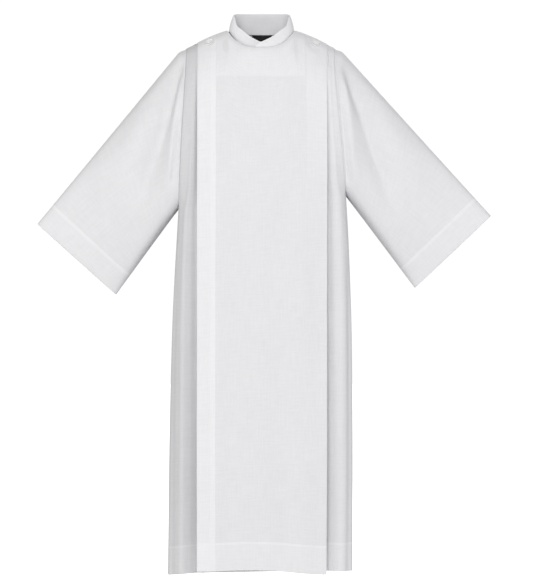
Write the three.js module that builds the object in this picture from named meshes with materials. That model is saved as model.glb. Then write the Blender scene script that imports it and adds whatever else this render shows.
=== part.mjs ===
// A full-length alb, filled out as if worn: a wrap-over front held by a button on each shoulder, deep set-in
// sleeves, a crossing stand collar and wide turned-up hems. Every piece of cloth is a thin closed wall.
// Millimetres. +X is the wearer's left, -Y is the front, +Z is up. The origin is midway between the
// shoulders, at the height where the shoulder seams meet the collar.
import * as THREE from 'three';

// ---- Cloth ----
const CLOTH = 1.2; // one layer, with the loft of its slubs
const GAP = 0.3; // room left between pieces that are sewn together
const LAYER = CLOTH + GAP; // from one layer of cloth to the next

// ---- Lengths ----
const HEM_LEVEL = -1472; // lower edge of the sides and back
const HEM_DEPTH = 77; // turned-up hem
const UNDERARM_LEVEL = -470;
const FACING_LEVEL = -110; // the facing behind the front ends at the first row below this level
const ARMHOLE_TURN_LEVEL = -290; // from here down the armhole runs in under the arm

// ---- Neck and shoulders ----
const NECK = { halfWidth: 93, halfDepth: 72, centreY: -6, frontDrop: 51, backDrop: 3 };
const SHOULDER_SLOPE = 0.3; // drop per mm beside the neck
const SHOULDER_CURVE = 0.0014; // and its growth further out
const SHOULDER_ROUND = { drop: 26, share: 0.3 }; // the ridge: its drop, and its share of the depth
const CHEST_ROUND = { drop: 175, ease: 2.4 }; // then the cloth comes out to the chest

// ---- Front ----
const FRONT_EDGE = -172; // free edge of the wrap-over front
const FRONT_FOLD = 179; // knife pleat at its other side
const BAND_WIDTH = 50; // turned-back band at the free edge
const PLEAT_DEPTH = 58; // cloth folded back behind the pleat
const UNDERLAP_EDGE = 110; // hidden edge of the front underneath
const UNDER_STEP = { top: 5, hem: 22 }; // how far the layer underneath lies behind the wrap-over front
const FRONT_CROWN = 9; // how much the front bows from its edges to its middle
const HEM_LINES = [ // how far the hem of each front hangs above (or below) the hem level
  { x: -252, over: 4, under: -2 },
  { x: -172, over: 4, under: 0 },
  { x: 0, over: 8, under: 4 },
  { x: 179, over: -3, under: 5 },
  { x: 252, over: -3, under: 8 },
];

// ---- Body outline by height: reach of each side, and depth of front and back ----
const BODY = [
  { z: 0, right: 200, left: 199, front: 98, back: 92 },
  { z: -130, right: 205, left: 201, front: 110, back: 104 },
  { z: -300, right: 215, left: 216, front: 122, back: 114 },
  { z: -470, right: 223, left: 232, front: 128, back: 119 },
  { z: -760, right: 238, left: 244, front: 133, back: 125 },
  { z: -1100, right: 247, left: 248, front: 141, back: 134 },
  { z: -1490, right: 252, left: 248, front: 150, back: 146 },
];

// ---- The egg round the wearer that tells which way the cloth faces ----
const EGG = { across: 245, deep: 130, crown: 120 };

// ---- Sleeves: each cuff's upper and lower corner, and its thickness across ----
const SLEEVE = {
  right: { side: -1, top: [-611, -529], bottom: [-397, -721], thick: 66 },
  left: { side: 1, top: [629, -507], bottom: [421, -704], thick: 66 },
};
const SLEEVE_HEM = 60;
const SLEEVE_HEAD = { height: 15, run: 0.06 }; // how far its top stands up beside the shoulder, and how soon
const SLEEVE_TURN = 0.14; // share of its length in which it turns from facing with the body to its own oval
const SLEEVE_FLAT = 1.6; // how soon round the oval the folds reach their full height
const CUFF_TAPER = 0.22; // how much thinner the oval is under the arm
const ARMHOLE_ANGLE = 28; // degrees from the front round to the armhole seam

// ---- Collar: height of its upper edge by angle from the middle of the front ----
const COLLAR = [
  { angle: 0, top: -36 },
  { angle: 22, top: -20 },
  { angle: 42, top: -1 },
  { angle: 56, top: 10 },
  { angle: 66, top: 26 },
  { angle: 76, top: 38 },
  { angle: 90, top: 43 },
  { angle: 135, top: 49 },
  { angle: 180, top: 52 },
];
const COLLAR_WALL = 1.6;
const COLLAR_STEPS = 40;
const COLLAR_ROWS = [0, 0.5, 1];
const COLLAR_RISE = 1; // room between the neckline and the collar
const COLLAR_LEAN = 0.26; // how far it leans in for each mm of height
const COLLAR_START = 13; // degrees past the middle where the end underneath stops
const COLLAR_END = 369; // and where the end on top stops
const COLLAR_LAP = 2.8; // how much narrower the wrap is at the end underneath

// ---- Trim ----
const LABEL = { left: -25, right: 30, wall: 1 };
const BUTTON = { radius: 11.5, thick: 3.2, rim: 1.2, dish: 7, dishLevel: 2.2, sides: 20, room: 1.9 };
const BUTTONS = [
  { name: 'button_right', x: -140, z: -40 },
  { name: 'button_left', x: 146, z: -43 },
];

// ---- Folds of the body: soft troughs (negative) and ridges (positive) that run down from a to b ----
const BODY_FOLDS = [
  { face: 'front', xa: -203, za: -60, xb: -198, zb: -1472, height: -7, width: 9 },
  { face: 'front', xa: -220, za: -560, xb: -226, zb: -1472, height: 5, width: 10 },
  { face: 'front', xa: 200, za: -80, xb: 206, zb: -1472, height: -7, width: 9 },
  { face: 'front', xa: 226, za: -520, xb: 228, zb: -1472, height: 6, width: 10 },
  { face: 'back', xa: -150, za: -120, xb: -168, zb: -1472, height: -12, width: 22 },
  { face: 'back', xa: -98, za: -260, xb: -112, zb: -1472, height: 9, width: 26 },
  { face: 'back', xa: -30, za: -420, xb: -40, zb: -1472, height: -8, width: 28 },
  { face: 'back', xa: 48, za: -330, xb: 44, zb: -1472, height: 8, width: 26 },
  { face: 'back', xa: 104, za: -200, xb: 122, zb: -1472, height: -10, width: 24 },
  { face: 'back', xa: 160, za: -120, xb: 176, zb: -1472, height: 9, width: 20 },
];

const FOLD_FADE = { drop: 90, start: 0.3 }; // a fold starts low and fades in over the drop
const FOLD_HOLD = 60; // drop over which the shoulder seam holds folds down

// ---- Folds of the sleeves, seen square on, from a down to b ----
const SLEEVE_FOLDS = [
  { side: -1, xa: -212, za: -70, xb: -300, zb: -520, height: -12, width: 20 },
  { side: -1, xa: -250, za: -110, xb: -370, zb: -560, height: 6, width: 34 },
  { side: 1, xa: 226, za: -85, xb: 300, zb: -500, height: -12, width: 20 },
  { side: 1, xa: 262, za: -120, xb: 384, zb: -540, height: 6, width: 34 },
];

// ---- Where the grid lines of the panels run ----
const NECK_X = [0, 34, 60, 79, 90, 93]; // close together where the neckline turns up
const SHOULDER_X = [-150, -121, 121, 152];
const ROWS_TO_UNDERARM = [0, 0.045, 0.1, 0.2, 0.3, 0.42, 0.56, 0.7, 0.84, 0.94, 1];
const ROWS_TO_HEM = [0.1, 0.26, 0.48, 0.73, 1];
const ROWS_IN_HEM = [0.5, 1];
const SIDE_STEPS = [0.22, 0.44, 0.7, 1];
const SLEEVE_ROWS = [0, 0.05, 0.14, 0.26, 0.4, 0.56, 0.73]; // and then the hem's two edges
const NEAR = 6; // a column this close to an inner edge moves onto it
const APART = 4; // closest that a column comes to the end of its panel

// ---- Small tools ----
const clamp = (value) => Math.min(1, Math.max(0, value));
const smooth = (value) => clamp(value) ** 2 * (3 - 2 * clamp(value));
const mix = (a, b, t) => a + (b - a) * t;

/** Reads one column of a table of rows at a place on its first column. */
function along(table, place, key, column) {
  const rising = table[table.length - 1][key] > table[0][key];
  const after = table.findIndex((row) => (rising ? row[key] > place : row[key] < place));
  if (after === 0) return table[0][column];
  if (after < 0) return table[table.length - 1][column];
  const [a, b] = [table[after - 1], table[after]];
  return mix(a[column], b[column], (place - a[key]) / (b[key] - a[key]));
}

/** Height of a fold at a point of the front view, fading in over its upper end. */
function foldAt(fold, x, z) {
  const down = clamp((fold.za - z) / (fold.za - fold.zb));
  const off = (x - mix(fold.xa, fold.xb, down)) / fold.width;
  const fade = smooth((fold.za - z) / FOLD_FADE.drop + FOLD_FADE.start);
  return fold.height * fade * Math.exp(-off * off);
}

/**
 * A closed wall through a grid of points. Each row of `grid` holds { point, out }: the outer face, and the
 * direction in which it faces. `depth` moves the wall in by whole layers, and a ring joins its last column
 * to its first.
 */
function wall(name, grid, { depth = 0, thick = CLOTH, ring = false, colour = 'cloth' } = {}) {
  const rows = grid.length;
  const columns = grid[0].length;
  const positions = [];
  for (const reach of [depth, depth + thick]) {
    for (const row of grid) {
      for (const { point, out } of row) {
        const spot = point.clone().addScaledVector(out, -reach);
        positions.push(spot.x, spot.y, spot.z);
      }
    }
  }
  const at = (layer, j, i) => layer * rows * columns + j * columns + (i % columns);
  const faces = [];
  const quad = (a, b, c, d) => faces.push(a, b, c, a, c, d);
  const across = ring ? columns : columns - 1;
  for (let j = 0; j < rows - 1; j += 1) {
    for (let i = 0; i < across; i += 1) {
      quad(at(0, j, i), at(0, j + 1, i), at(0, j + 1, i + 1), at(0, j, i + 1));
      quad(at(1, j, i), at(1, j, i + 1), at(1, j + 1, i + 1), at(1, j + 1, i));
    }
  }
  for (let i = 0; i < across; i += 1) {
    quad(at(0, 0, i), at(0, 0, i + 1), at(1, 0, i + 1), at(1, 0, i));
    quad(at(0, rows - 1, i), at(1, rows - 1, i), at(1, rows - 1, i + 1), at(0, rows - 1, i + 1));
  }
  for (let j = 0; j < rows - 1 && !ring; j += 1) {
    quad(at(0, j, 0), at(1, j, 0), at(1, j + 1, 0), at(0, j + 1, 0));
    quad(at(0, j, columns - 1), at(0, j + 1, columns - 1), at(1, j + 1, columns - 1), at(1, j, columns - 1));
  }
  const geometry = new THREE.BufferGeometry();
  geometry.setAttribute('position', new THREE.Float32BufferAttribute(positions, 3));
  geometry.setIndex(volumeOf(positions, faces) < 0 ? faces.reverse() : faces);
  return named(name, geometry, colour);
}

/** Signed volume of a closed mesh, which is below zero where its faces point in. */
function volumeOf(positions, faces) {
  const corner = (k) => new THREE.Vector3().fromArray(positions, faces[k] * 3);
  let volume = 0;
  for (let k = 0; k < faces.length; k += 3) volume += corner(k).dot(corner(k + 1).cross(corner(k + 2))) / 6;
  return volume;
}

const MATERIALS = {
  cloth: new THREE.MeshStandardMaterial({ color: 0xf1f1ef, roughness: 0.82, metalness: 0 }),
  label: new THREE.MeshStandardMaterial({ color: 0x232326, roughness: 0.7, metalness: 0 }),
  button: new THREE.MeshStandardMaterial({ color: 0xeeece8, roughness: 0.32, metalness: 0 }),
};

function named(name, geometry, colour) {
  const mesh = new THREE.Mesh(geometry, MATERIALS[colour]);
  mesh.name = name;
  return mesh;
}

// ---- Form of the body ----

/** Height of the shoulder ridge, or of the neckline, above a point across the body. */
function topLevel(x, face) {
  const off = Math.abs(x) - NECK.halfWidth;
  if (off > 0) return -SHOULDER_SLOPE * off - SHOULDER_CURVE * off * off;
  const drop = face === 'front' ? NECK.frontDrop : NECK.backDrop;
  return -drop * (1 - Math.abs(x / NECK.halfWidth) ** 3);
}

/** Depth of the shoulder ridge, or of the neckline, at a point across the body. */
function topDepth(x, face) {
  const lean = Math.sqrt(Math.max(0, 1 - (x / NECK.halfWidth) ** 2));
  return NECK.centreY + (face === 'front' ? -1 : 1) * NECK.halfDepth * lean;
}

/** Share of the way from the shoulder ridge to the full depth of the chest or back, for a drop. */
function swell(drop) {
  const ridge = Math.sqrt(1 - (1 - clamp(drop / SHOULDER_ROUND.drop)) ** 2);
  const chest = 1 - (1 - clamp(drop / CHEST_ROUND.drop)) ** CHEST_ROUND.ease;
  return mix(chest, ridge, SHOULDER_ROUND.share);
}

/** How far round the side the cloth goes at a height: to the armhole seam, or to the side seam under it. */
function sideAngle(z) {
  const open = THREE.MathUtils.degToRad(ARMHOLE_ANGLE);
  const curve = clamp((ARMHOLE_TURN_LEVEL - z) / (ARMHOLE_TURN_LEVEL - UNDERARM_LEVEL));
  return Math.acos(Math.cos(open) * Math.sqrt(1 - curve * curve));
}

/**
 * A point of the body's form. `across` runs over the front or back in mm, `round` from 0 to 1 round the side.
 */
function bodyPoint(face, side, across, round, z) {
  const facing = face === 'front' ? -1 : 1;
  const depth = along(BODY, z, 'z', face);
  const reach = along(BODY, z, 'z', side < 0 ? 'right' : 'left');
  const edge = side < 0 ? -FRONT_EDGE : FRONT_FOLD;
  const flat = depth - FRONT_CROWN * (across / edge) ** 2;
  const sweep = sideAngle(z);
  const angle = round * sweep;
  const x = round > 0 ? side * mix(edge, reach, Math.sin(angle) / Math.sin(sweep)) : across;
  const top = topLevel(x, face);
  const form = facing * flat * Math.cos(angle);
  const y = mix(topDepth(x, face), form, swell(top - z));
  const point = new THREE.Vector3(x, y + facing * GAP / 2, z);
  const folds = BODY_FOLDS.filter((fold) => fold.face === face);
  const free = Math.min(smooth((top - z) / FOLD_HOLD), Math.cos(angle) + 0.2);
  const lift = folds.reduce((sum, fold) => sum + foldAt(fold, x, z), 0) * free;
  return point.addScaledVector(bodyOut(point), round < 1 ? lift : 0);
}

/** Direction in which the body faces at a point: that of an egg round the wearer. */
function bodyOut(point) {
  const up = Math.max(0, point.z + EGG.crown) / EGG.crown ** 2;
  const ahead = (point.y - NECK.centreY) / EGG.deep ** 2;
  return new THREE.Vector3(point.x / EGG.across ** 2, ahead, up).normalize();
}

/** Heights of the rows of a panel, from its top edge at a place across the body down to its hem. */
function rowLevels(x, face, layer) {
  const top = topLevel(x, face);
  const hem = HEM_LEVEL + (face === 'front' ? along(HEM_LINES, x, 'x', layer) : 0);
  const hemLine = hem + HEM_DEPTH;
  return [
    ...ROWS_TO_UNDERARM.map((t) => mix(top - GAP, UNDERARM_LEVEL, t)),
    ...ROWS_TO_HEM.map((t) => mix(UNDERARM_LEVEL, hemLine, t)),
    ...ROWS_IN_HEM.map((t) => mix(hemLine, hem, t)),
  ];
}
const HEM_ROW = ROWS_TO_UNDERARM.length + ROWS_TO_HEM.length - 1;

/**
 * The grid of a body panel. Each column is { across, side, round }. The layer `under` lies behind the
 * wrap-over front, furthest at the hem, and comes out to meet the back at the side seam.
 */
function bodyGrid(face, columns, layer) {
  const levels = columns.map(({ across, side, round }) => {
    const edge = side < 0 ? FRONT_EDGE : FRONT_FOLD;
    const shoulder = side * along(BODY, 0, 'z', side < 0 ? 'right' : 'left');
    return rowLevels(round > 0 ? mix(edge, shoulder, round) : across, face, layer);
  });
  return levels[0].map((_, j) => columns.map(({ across, side, round }, i) => {
    const z = levels[i][j];
    const point = bodyPoint(face, side, across, round, z);
    const out = bodyOut(point);
    const step = mix(UNDER_STEP.top, UNDER_STEP.hem, smooth(z / HEM_LEVEL)) * (1 - smooth(round));
    return { point: point.addScaledVector(out, layer === 'under' ? -step : 0), out };
  }));
}

/** Columns straight across the front or back between two places, close together beside the neck. */
function columnsAcross(from, to, extra = []) {
  const neck = [...NECK_X.slice(1).map((x) => -x), ...NECK_X];
  const inner = [...neck, ...extra, ...SHOULDER_X].filter((x) => x > from + APART && x < to - APART);
  return [from, ...inner, to].sort((a, b) => a - b).map((across) => (
    { across, side: Math.sign(across) || 1, round: 0 }
  ));
}

/** Columns round one side, from the flat of the front or back to the side seam. */
function columnsRound(side) {
  const edge = side < 0 ? FRONT_EDGE : FRONT_FOLD;
  return SIDE_STEPS.map((round) => ({ across: edge, side, round }));
}

// ---- Fronts and back ----

const alb = new THREE.Group();
const part = (grid, from, to) => grid.map((row) => row.slice(from, to));

function overFront() {
  const inBand = FRONT_EDGE + BAND_WIDTH;
  const inPleat = FRONT_FOLD - PLEAT_DEPTH;
  const columns = columnsAcross(FRONT_EDGE, FRONT_FOLD).map((column) => {
    const edge = [inBand, inPleat].find((x) => Math.abs(column.across - x) < NEAR);
    return edge === undefined ? column : { ...column, across: edge };
  });
  const grid = bodyGrid('front', columns, 'over');
  const band = columns.findIndex((column) => column.across === inBand);
  const pleat = columns.findIndex((column) => column.across === inPleat);
  const facingRow = grid.findIndex((row) => row[0].point.z < FACING_LEVEL);
  alb.add(
    wall('over_front', grid),
    wall('front_band', part(grid, 0, band + 1), { depth: LAYER }),
    wall('front_pleat', part(grid, pleat, columns.length), { depth: LAYER }),
    wall('front_facing', part(grid.slice(1, facingRow + 1), band, pleat + 1), { depth: 2 * LAYER }),
    wall('over_front_hem', grid.slice(HEM_ROW), { depth: 2 * LAYER }),
  );
}

function underFront() {
  const columns = [...columnsRound(-1).reverse(), ...columnsAcross(FRONT_EDGE, UNDERLAP_EDGE)];
  const grid = bodyGrid('front', columns, 'under');
  alb.add(wall('under_front', grid), wall('under_front_hem', grid.slice(HEM_ROW), { depth: LAYER }));
  return grid.map((row) => row[0]);
}

function sideFront() {
  const columns = [...columnsAcross(FRONT_FOLD - PLEAT_DEPTH, FRONT_FOLD), ...columnsRound(1)];
  const grid = bodyGrid('front', columns, 'under');
  alb.add(wall('side_front', grid), wall('side_front_hem', grid.slice(HEM_ROW), { depth: LAYER }));
  return grid.map((row) => row[row.length - 1]);
}

function back() {
  const middle = columnsAcross(FRONT_EDGE, FRONT_FOLD, [LABEL.left, LABEL.right]);
  const columns = [...columnsRound(-1).reverse(), ...middle, ...columnsRound(1)];
  const grid = bodyGrid('back', columns, 'over');
  const [from, to] = [LABEL.left, LABEL.right].map((x) => columns.findIndex((column) => column.across === x));
  const label = part(grid.slice(0, 2), from, to + 1);
  alb.add(
    wall('back', grid),
    wall('back_hem', grid.slice(HEM_ROW), { depth: LAYER }),
    wall('neck_label', label, { depth: LAYER, thick: LABEL.wall, colour: 'label' }),
  );
  return { right: grid.map((row) => row[0]), left: grid.map((row) => row[row.length - 1]) };
}

// ---- Sleeves ----

/** The armhole seam as a ring: down the front panel's last column, then up the back panel's. */
function armholeRing(side, frontSeam, backSeam) {
  const last = ROWS_TO_UNDERARM.length;
  const seam = [...frontSeam.slice(0, last), ...backSeam.slice(1, last - 1).reverse()];
  const room = new THREE.Vector3(side * 2 * GAP, 0, 0);
  return seam.map(({ point, out }) => ({ point: point.clone().add(room), out }));
}

/** Angle of each point of a ring round the sleeve, by its share of the way along the ring. */
function anglesRound(ring) {
  const lengths = ring.map(({ point }, k) => point.distanceTo(ring[(k + 1) % ring.length].point));
  const total = lengths.reduce((sum, length) => sum + length, 0);
  const walked = lengths.map((_, k) => lengths.slice(0, k).reduce((sum, length) => sum + length, 0));
  return walked.map((way) => (way / total) * Math.PI * 2);
}

/** A sleeve and its hem, between the armhole's own points and a flat oval cuff. */
function sleeve(name, { side, top, bottom, thick }, frontSeam, backSeam) {
  const armhole = armholeRing(side, frontSeam, backSeam);
  const angles = anglesRound(armhole);
  const folds = SLEEVE_FOLDS.filter((fold) => fold.side === side);
  const centre = new THREE.Vector3((top[0] + bottom[0]) / 2, NECK.centreY, (top[1] + bottom[1]) / 2);
  const up = new THREE.Vector3(top[0] - bottom[0], 0, top[1] - bottom[1]).multiplyScalar(0.5);
  const upward = up.clone().normalize();
  const shoulder = new THREE.Vector3(side * BODY[1].left, NECK.centreY, UNDERARM_LEVEL / 2);
  const length = centre.distanceTo(shoulder);

  const spot = ({ point, out }, angle, s) => {
    const full = 1 - CUFF_TAPER * (1 - Math.cos(angle));
    const across = new THREE.Vector3(0, (-Math.sin(angle) * thick * full) / 2, 0);
    const cuff = centre.clone().addScaledVector(up, Math.cos(angle)).add(across);
    const place = point.clone().lerp(cuff, s);
    place.z += SLEEVE_HEAD.height * (1 - s) * smooth(s / SLEEVE_HEAD.run) * Math.max(0, Math.cos(angle)) ** 2;
    const facing = clamp(Math.abs(Math.sin(angle)) * SLEEVE_FLAT) * Math.sign(Math.sin(angle));
    const lift = folds.reduce((sum, fold) => sum + foldAt(fold, place.x, place.z), 0);
    const free = smooth(s / 0.1) * (1 - smooth((s - 0.75) / 0.2)); // none at the armhole, none at the hem
    place.y -= facing * lift * free;
    const sleeveOut = upward.clone().multiplyScalar(Math.cos(angle)).setY(-Math.sin(angle));
    return { point: place, out: out.clone().lerp(sleeveOut, smooth(s / SLEEVE_TURN)).normalize() };
  };

  const rows = [...SLEEVE_ROWS, 1 - SLEEVE_HEM / length, 1];
  const grid = rows.map((s) => armhole.map((start, k) => spot(start, angles[k], s)));
  alb.add(
    wall(name, grid, { ring: true }),
    wall(`${name}_hem`, grid.slice(SLEEVE_ROWS.length), { depth: LAYER, ring: true }),
  );
}

// ---- Collar and buttons ----

function collar() {
  const shares = Array.from({ length: COLLAR_STEPS + 1 }, (_, k) => k / COLLAR_STEPS);
  const grid = COLLAR_ROWS.map((height) => shares.map((share) => {
    const turn = mix(COLLAR_START, -COLLAR_END, share);
    const folded = Math.abs(((turn % 360) + 540) % 360 - 180);
    const angle = THREE.MathUtils.degToRad(turn);
    const face = Math.cos(angle) > 0 ? 'front' : 'back';
    const base = topLevel(NECK.halfWidth * Math.sin(angle), face) + COLLAR_RISE;
    const z = mix(base, along(COLLAR, folded, 'angle', 'top'), height);
    const grown = COLLAR_LAP * (share - 1) - COLLAR_LEAN * (z - base);
    const [across, deep] = [NECK.halfWidth + grown, NECK.halfDepth + grown];
    const point = new THREE.Vector3(across * Math.sin(angle), NECK.centreY - deep * Math.cos(angle), z);
    const out = new THREE.Vector3(Math.sin(angle) / across, -Math.cos(angle) / deep, 0).normalize();
    return { point, out };
  }));
  alb.add(wall('collar', grid.reverse(), { thick: COLLAR_WALL }));
}

function buttons() {
  const { radius, thick, rim, dish, dishLevel, sides, room } = BUTTON;
  const profile = [
    [0, 0], [radius - rim, 0], [radius, rim], [radius, thick - rim], [radius - rim, thick],
    [dish, dishLevel], [0, dishLevel],
  ];
  for (const { name, x, z } of BUTTONS) {
    const points = profile.map(([r, y]) => new THREE.Vector2(r, y));
    const mesh = named(name, new THREE.LatheGeometry(points, sides), 'button');
    const spot = bodyPoint('front', Math.sign(x), x, 0, z);
    const above = bodyPoint('front', Math.sign(x), x, 0, z + radius);
    const beside = bodyPoint('front', Math.sign(x), x + radius, 0, z);
    const out = above.sub(spot).cross(beside.sub(spot)).normalize();
    out.multiplyScalar(-Math.sign(out.y));
    mesh.quaternion.setFromUnitVectors(new THREE.Vector3(0, 1, 0), out);
    mesh.position.copy(spot).addScaledVector(out, room);
    alb.add(mesh);
  }
}

overFront();
const rightSeam = underFront();
const leftSeam = sideFront();
const backSeams = back();
sleeve('sleeve_right', SLEEVE.right, rightSeam, backSeams.right);
sleeve('sleeve_left', SLEEVE.left, leftSeam, backSeams.left);
collar();
buttons();

export default alb;
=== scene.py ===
# %% [markdown]
# # A worn alb, cut and sewn in Blender
# An alb is the white robe a minister wears under the other vestments. This one closes like a coat: a wide
# front panel wraps over the other front and buttons on both shoulders. Real albs are cut flat and get their
# shape from pleats, seams and the wearer. A simulation could drape such a cut, but its folds would fall where
# they like. So each piece here is a sheet of cloth laid on the wearer's form: a grid with its hems and
# folds really turned, and given the thickness of cloth at the end.

# %% Load the frame that every piece is fitted to
import math

import bmesh
import bpy
from mathutils import Matrix, Vector, noise


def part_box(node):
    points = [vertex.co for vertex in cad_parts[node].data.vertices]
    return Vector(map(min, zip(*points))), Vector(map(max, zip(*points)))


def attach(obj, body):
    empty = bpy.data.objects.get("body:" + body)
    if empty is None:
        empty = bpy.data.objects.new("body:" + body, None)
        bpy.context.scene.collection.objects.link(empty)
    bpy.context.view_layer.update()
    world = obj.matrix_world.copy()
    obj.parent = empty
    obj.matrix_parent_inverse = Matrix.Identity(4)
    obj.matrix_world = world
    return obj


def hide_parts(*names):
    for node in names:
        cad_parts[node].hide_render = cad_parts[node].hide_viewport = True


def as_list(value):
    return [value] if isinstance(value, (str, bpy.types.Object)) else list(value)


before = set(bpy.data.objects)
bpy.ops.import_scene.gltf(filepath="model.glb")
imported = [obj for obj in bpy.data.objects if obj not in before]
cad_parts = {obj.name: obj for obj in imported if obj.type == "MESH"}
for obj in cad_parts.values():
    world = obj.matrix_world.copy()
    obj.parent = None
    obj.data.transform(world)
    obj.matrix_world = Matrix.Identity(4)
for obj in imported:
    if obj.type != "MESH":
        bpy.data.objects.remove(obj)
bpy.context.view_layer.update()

# %% [markdown]
# ## The cut
# A tailor writes the sizes down first. The outline comes from the frame's own boxes; the rest are the sizes
# that a pattern gives, in metres: how deep the hems are, how wide the turned-back front band is, and how much
# cloth lies folded behind the knife pleat. Numbers with names are easy to change later, and every piece that
# meets another reads the same ones, so their edges meet too.

# %% Sizes of the cut
FRONT_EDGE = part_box("over_front")[0].x
FRONT_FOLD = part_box("over_front")[1].x
CLOTH = 0.0007
BAND_WIDTH = 0.050
PLEAT_DEPTH = 0.058
HEM_DEPTH = 0.077
FACING_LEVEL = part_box("front_facing")[0].z
CUFF_HEM = 0.068
HEM_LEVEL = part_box("back")[0].z
UNDERARM = dict(level=-0.467, tilt=0.085)  # lower at the wearer's right, as this robe hangs
LAYER = 0.0016  # from one layer of a turned hem or band to the next
SEAM = 0.0003  # gap left between two pieces at a seam
print(f"front panel {FRONT_FOLD - FRONT_EDGE:.3f} m wide, hems {HEM_DEPTH:.3f} m deep")


# %% [markdown]
# ## The wearer's form
# Cloth shows the body under it, so the form comes first: how far the robe reaches to each side, forward and
# back at a few heights. It could be a sculpted figure, but a robe this wide touches it only at the shoulders.
# A short table is enough, read through a smooth curve, because straight lines between its rows would show as
# creases in the shading.

# %% Read a short table smoothly
def along(table, place, column, key="z"):
    """One column of a table at a place, on a smooth curve through its rows."""
    rows = sorted(table, key=lambda row: row[key])
    place = min(max(place, rows[0][key]), rows[-1][key])
    i = max(k for k in range(len(rows) - 1) if rows[k][key] <= place)

    def slope(k):
        low, high = rows[max(k - 1, 0)], rows[min(k + 1, len(rows) - 1)]
        return (high[column] - low[column]) / (high[key] - low[key])

    a, b = rows[i], rows[i + 1]
    span = b[key] - a[key]
    t = (place - a[key]) / span
    ease = t * t * (3 - 2 * t)
    bend = slope(i) * t * (1 - t) ** 2 - slope(i + 1) * t * t * (1 - t)
    return a[column] + (b[column] - a[column]) * ease + bend * span


def clamp(value):
    """Keeps a value between 0 and 1."""
    return min(1.0, max(0.0, value))


def smooth(value):
    """Eases a value between 0 and 1 at both ends."""
    value = clamp(value)
    return value * value * (3 - 2 * value)


def mix(a, b, share):
    """The value that lies a share of the way from a to b."""
    return a + (b - a) * share


# %% Sizes of the form
BODY = [
    dict(z=0.000, right=0.200, left=0.199, front=0.098, back=0.092),
    dict(z=-0.130, right=0.205, left=0.201, front=0.110, back=0.104),
    dict(z=-0.300, right=0.215, left=0.216, front=0.122, back=0.114),
    dict(z=-0.470, right=0.223, left=0.232, front=0.128, back=0.119),
    dict(z=-0.760, right=0.238, left=0.244, front=0.133, back=0.125),
    dict(z=-1.100, right=0.247, left=0.248, front=0.141, back=0.134),
    dict(z=-1.490, right=0.252, left=0.248, front=0.150, back=0.146),
]
NECK = dict(half_width=0.093, half_depth=0.072, y=-0.006, front=0.051, back=0.003)
SHOULDER = dict(slope=0.30, bend=1.4, width=0.200)
SWELL = dict(ridge=0.026, chest=0.175, ridge_share=0.3, ease=2.4)  # how cloth leaves the shoulder seam
EGG = dict(across=0.245, deep=0.130, up=0.120)  # a round form that says which way the cloth faces
PANEL_BOW = 0.009  # how far the edges of a panel stand back from its middle
ARMHOLE = dict(turn=-0.290, short_of_side=28)  # below this level it curves in under the arm; degrees
SIDE = dict(squareness=0.56, skirt_squareness=0.28, change=0.30)
UNDER_STEP = dict(top=0.003, hem=0.022)  # how far the under front lies behind the over front
HEM_LINES = [  # how far each hem hangs above its level, by the way round from the middle
    dict(way=-0.322, over=0.004, under=-0.009, back=-0.009),
    dict(way=-0.172, over=0.004, under=0.000, back=0.000),
    dict(way=0.000, over=0.009, under=0.004, back=0.003),
    dict(way=0.179, over=-0.003, under=0.005, back=0.000),
    dict(way=0.329, over=-0.003, under=0.003, back=0.003),
]
HALF_SIDE = 0.150  # cloth from the flat of a panel round to its side seam
FOLD_TAPER = 0.006  # how far the pleat's fold has moved in at the hem
print(f"the form is {BODY[-1]['right'] + BODY[-1]['left']:.3f} m wide at the hem")


# %% Points of the form

def top_level(x, face):
    """Height of the neckline, or of the shoulder seam beside it."""
    off = abs(x) - NECK["half_width"]
    if off > 0:
        return -SHOULDER["slope"] * off - SHOULDER["bend"] * off * off
    return -NECK[face] * (1 - abs(x / NECK["half_width"]) ** 3)


def top_depth(x, face):
    """Depth of the neckline, or of the shoulder seam beside it."""
    lean = math.sqrt(max(0.0, 1 - (x / NECK["half_width"]) ** 2))
    return NECK["y"] + (-1 if face == "front" else 1) * NECK["half_depth"] * lean


def swell(drop):
    """How far the cloth has come from the shoulder to the full depth of the chest, from 0 to 1."""
    ridge, chest = clamp(drop / SWELL["ridge"]), clamp(drop / SWELL["chest"])
    over_ridge = math.sqrt(1 - (1 - ridge) ** 2)
    return mix(1 - (1 - chest) ** SWELL["ease"], over_ridge, SWELL["ridge_share"])


def underarm(x):
    """Height of the foot of the armholes, from one side of the robe to the other."""
    return UNDERARM["level"] + UNDERARM["tilt"] * x


def squareness(z):
    """How flat the sides stay before they turn: 1 would be round, and less is flatter, most in the skirt."""
    below = smooth((ARMHOLE["turn"] - z) / SIDE["change"])
    return mix(SIDE["squareness"], SIDE["skirt_squareness"], below)


def side_sweep(x, z):
    """How far round the side the cloth goes: to the armhole, or to the side seam below it."""
    foot = underarm(math.copysign(SHOULDER["width"], x))
    curve = clamp((ARMHOLE["turn"] - z) / (ARMHOLE["turn"] - foot))
    return math.acos(math.cos(math.radians(ARMHOLE["short_of_side"])) * math.sqrt(1 - curve * curve))


def facing(point):
    """Which way the body faces at a point: as an egg round the wearer would."""
    up = max(0.0, point.z + EGG["up"]) / EGG["up"] ** 2
    across, deep = point.x / EGG["across"] ** 2, (point.y - NECK["y"]) / EGG["deep"] ** 2
    return Vector((across, deep, up)).normalized()


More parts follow.
